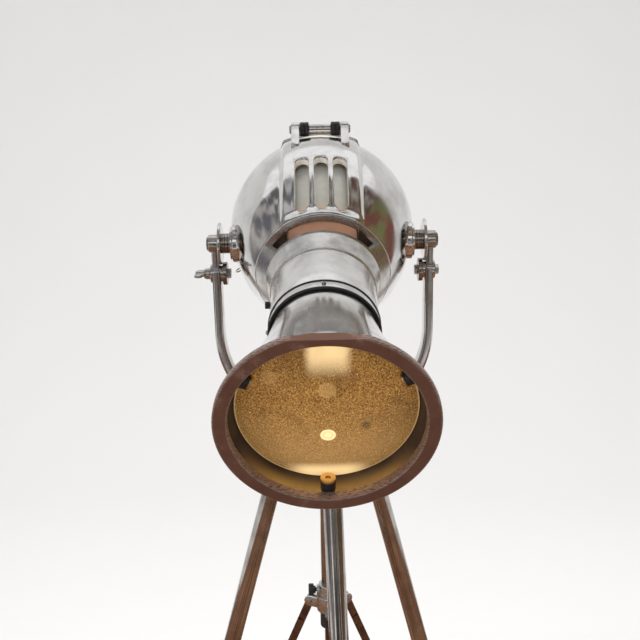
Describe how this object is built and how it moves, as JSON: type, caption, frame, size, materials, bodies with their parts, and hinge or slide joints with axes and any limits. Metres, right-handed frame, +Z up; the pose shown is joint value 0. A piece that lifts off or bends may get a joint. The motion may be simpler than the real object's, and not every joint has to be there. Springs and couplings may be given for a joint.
{
  "type": "tripod spotlight floor lamp",
  "caption": "Theatre-style profile spotlight with a flared lens hood, hung in a tilting fork on a folding tripod with a telescopic mast.",
  "frame": {"origin": "on the floor, under the middle of the box round the whole lamp with its three feet on the floor", "axes": "+Z up along the mast; the lamp faces -Y, tipped 20 degrees down; +X is the right side seen from the front"},
  "size_m": [0.7508, 0.6864, 1.66],
  "materials": {
    "polished_aluminium": "polished casting",
    "satin_aluminium": "satin turned",
    "silver_casting": "polished casting",
    "fork_steel": "brushed",
    "dark_chrome": "dark nickel plate",
    "dark_casting": "dark enamelled casting",
    "dark_steel": "blackened steel",
    "zinc": "bright zinc",
    "black_plastic": "moulded",
    "rubber": "matt",
    "rim_bronze": "brown lacquered",
    "reflector_white": "enamel white",
    "lamp_glass": "clear",
    "amber_lens": "amber, finely pitted",
    "brass": "polished"
  },
  "bodies": {
    "stand": {"tripod_hub": "dark_casting", "hub_pins": "zinc", "column_tube": "dark_chrome", "column_bush": "black_plastic"},
    "mast_knob": {"mast_knob": "black_plastic"},
    "leg_1": {"leg_tube_1": "dark_chrome", "leg_head_1": "dark_casting", "foot_1": "rubber", "strut_clip_1": "silver_casting"},
    "leg_2": {"leg_tube_2": "dark_chrome", "leg_head_2": "dark_casting", "foot_2": "rubber", "strut_clip_2": "silver_casting"},
    "leg_3": {"leg_tube_3": "dark_chrome", "leg_head_3": "dark_casting", "foot_3": "rubber", "strut_clip_3": "silver_casting"},
    "collar": {"spreader_collar": "silver_casting", "collar_pins": "zinc"},
    "collar_knob": {"collar_knob": "black_plastic"},
    "strut_1": {"strut_1": "dark_chrome"},
    "strut_2": {"strut_2": "dark_chrome"},
    "strut_3": {"strut_3": "dark_chrome"},
    "mast": {"mast_rod": "dark_chrome", "mast_head": "silver_casting", "pan_nut": "silver_casting"},
    "fork": {"fork": "fork_steel", "clamp_bolts": "silver_casting", "clamp_washers": "dark_steel"},
    "wing_nut": {"clamp_wing_nut": "silver_casting"},
    "head": {"front_shell": "polished_aluminium", "heat_baffle": "satin_aluminium", "gate_collar": "polished_aluminium", "gate_plate": "dark_steel", "neck_tube": "satin_aluminium", "clamp_band": "satin_aluminium", "band_rings": "rubber", "band_screws": "zinc", "trunnions": "dark_steel", "friction_discs": "dark_steel", "hinge_pin": "zinc", "lamp_tray": "satin_aluminium", "lamp_bracket": "satin_aluminium", "lamp_holder": "reflector_white", "lamp": "lamp_glass", "cable_gland": "black_plastic"},
    "rear_dome": {"rear_dome": "polished_aluminium", "hinge_spacer": "polished_aluminium", "reflector": "reflector_white", "dome_clip": "dark_steel", "pull_ring": "polished_aluminium"},
    "lens_tube": {"lens_sleeve": "satin_aluminium", "flared_hood": "polished_aluminium", "front_rim": "rim_bronze", "lens": "amber_lens", "lens_post_rubbers": "rubber", "lens_post_caps": "brass"},
    "focus_knob": {"focus_knob": "black_plastic"}
  },
  "joints": [
    {"name": "leg_1_fold", "type": "hinge", "parent": "stand", "child": "leg_1", "pos_m": [0.02485, 0.00984, 1.165], "axis": [0.9962, 0.0872, 0], "range_deg": [0, 15.5]},
    {"name": "leg_2_fold", "type": "hinge", "parent": "stand", "child": "leg_2", "pos_m": [0.08195, 0.13228, 1.165], "axis": [-0.5736, 0.8192, 0], "range_deg": [-0.5, 16]},
    {"name": "leg_3_fold", "type": "hinge", "parent": "stand", "child": "leg_3", "pos_m": [-0.05264, 0.12051, 1.165], "axis": [-0.4226, -0.9063, 0], "range_deg": [-0.5, 16]},
    {"name": "collar_slide", "type": "slide", "parent": "stand", "child": "collar", "axis": [0, 0, 1], "range_m": [-0.001, 0.0286]},
    {"name": "strut_1_swing", "type": "hinge", "parent": "collar", "child": "strut_1", "pos_m": [0.02084, 0.05566, 0.938], "axis": [0.9962, 0.0872, 0], "range_deg": [-0.5, 20.7]},
    {"name": "strut_2_swing", "type": "hinge", "parent": "collar", "child": "strut_2", "pos_m": [0.04427, 0.1059, 0.938], "axis": [-0.5736, 0.8192, 0], "range_deg": [-0.5, 20.7]},
    {"name": "strut_3_swing", "type": "hinge", "parent": "collar", "child": "strut_3", "pos_m": [-0.01095, 0.10107, 0.938], "axis": [-0.4226, -0.9063, 0], "range_deg": [-0.5, 20.7]},
    {"name": "collar_knob_turn", "type": "hinge", "parent": "collar", "child": "collar_knob", "pos_m": [-0.00195, 0.08754, 0.963], "axis": [-1, 0, 0], "continuous": true},
    {"name": "mast_knob_turn", "type": "hinge", "parent": "stand", "child": "mast_knob", "pos_m": [0.01544, 0.11743, 1.19], "axis": [-0.0872, 0.9962, 0], "continuous": true},
    {"name": "mast_height", "type": "slide", "parent": "stand", "child": "mast", "axis": [0, 0, 1], "range_m": [0, 0.15]},
    {"name": "fork_pan", "type": "hinge", "parent": "mast", "child": "fork", "pos_m": [0.01805, 0.08754, 1.2313], "axis": [0, 0, 1], "continuous": true},
    {"name": "wing_nut_turn", "type": "hinge", "parent": "fork", "child": "wing_nut", "pos_m": [-0.13745, 0.08754, 1.458], "axis": [-1, 0, 0], "continuous": true},
    {"name": "head_tilt", "type": "hinge", "parent": "fork", "child": "head", "pos_m": [0.01805, 0.08754, 1.5], "axis": [1, 0, 0], "range_deg": [-60, 35]},
    {"name": "focus_slide", "type": "slide", "parent": "head", "child": "lens_tube", "axis": [0, -0.9397, -0.342], "range_m": [0, 0.03]},
    {"name": "focus_knob_turn", "type": "hinge", "parent": "lens_tube", "child": "focus_knob", "pos_m": [-0.05195, -0.05905, 1.44664], "axis": [-1, 0, 0], "continuous": true},
    {"name": "dome_open", "type": "hinge", "parent": "head", "child": "rear_dome", "pos_m": [0.01805, 0.11791, 1.65046], "axis": [1, 0, 0], "range_deg": [0, 70]}
  ],
  "couplings": [
    {"joint": "leg_2_fold", "follows": "leg_1_fold", "ratio": 1},
    {"joint": "leg_3_fold", "follows": "leg_1_fold", "ratio": 1},
    {"joint": "collar_slide", "follows": "leg_1_fold", "m_per_rad": 0.1022},
    {"joint": "strut_1_swing", "follows": "leg_1_fold", "ratio": 1.3},
    {"joint": "strut_2_swing", "follows": "leg_1_fold", "ratio": 1.3},
    {"joint": "strut_3_swing", "follows": "leg_1_fold", "ratio": 1.3}
  ]
}
